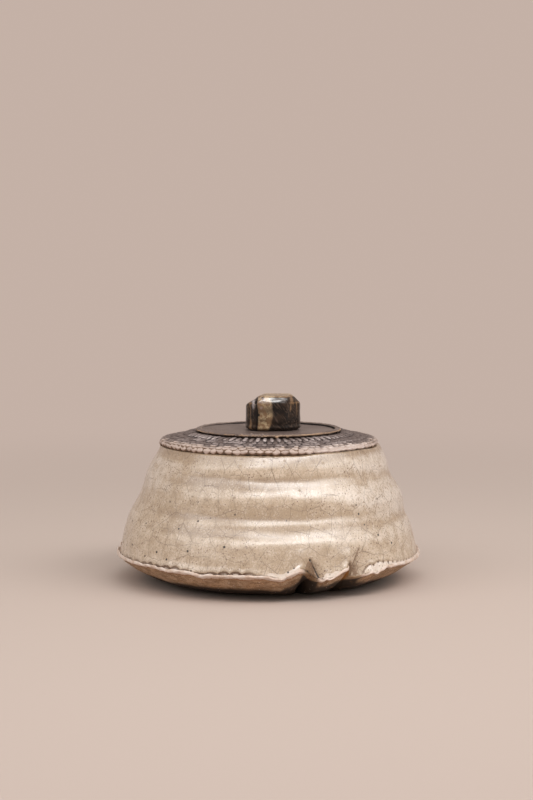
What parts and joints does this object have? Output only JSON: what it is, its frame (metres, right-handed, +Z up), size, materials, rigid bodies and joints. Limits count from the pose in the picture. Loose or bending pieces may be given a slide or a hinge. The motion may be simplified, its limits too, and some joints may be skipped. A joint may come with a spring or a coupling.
{
  "type": "lidded raku box",
  "caption": "Low round thrown pottery box with a ringed crackle-glazed wall, an impressed smoked shoulder, a folded clay foot and a lift-off disc lid with a wire-cut knob.",
  "frame": {"origin": "on the table, under the middle of the box, at the flat underside of the foot", "axes": "+Z up through the knob, front towards -Y, right of the front towards +X"},
  "size_m": [0.1616, 0.1616, 0.0989],
  "materials": {
    "bare_clay": "unglazed grogged clay, smoked brown, matte",
    "crackle_glaze": "cream raku glaze with dark crackle and iron specks, semi-gloss",
    "smoked_clay": "smoked and lightly glazed pink-grey clay, satin",
    "dark_glaze": "near-black glaze that breaks to tan on its edges, glossy"
  },
  "bodies": {
    "box": {"foot_dish": "bare_clay", "thrown_wall": "crackle_glaze", "shoulder_slab": "smoked_clay"},
    "lid": {"lid_plate": "smoked_clay", "lid_rim": "smoked_clay", "lid_flange": "smoked_clay", "knob": "dark_glaze"}
  },
  "joints": [
    {"name": "lid_lift", "type": "slide", "parent": "box", "child": "lid", "axis": [0, 0, 1], "range_m": [0, 0.06]}
  ]
}
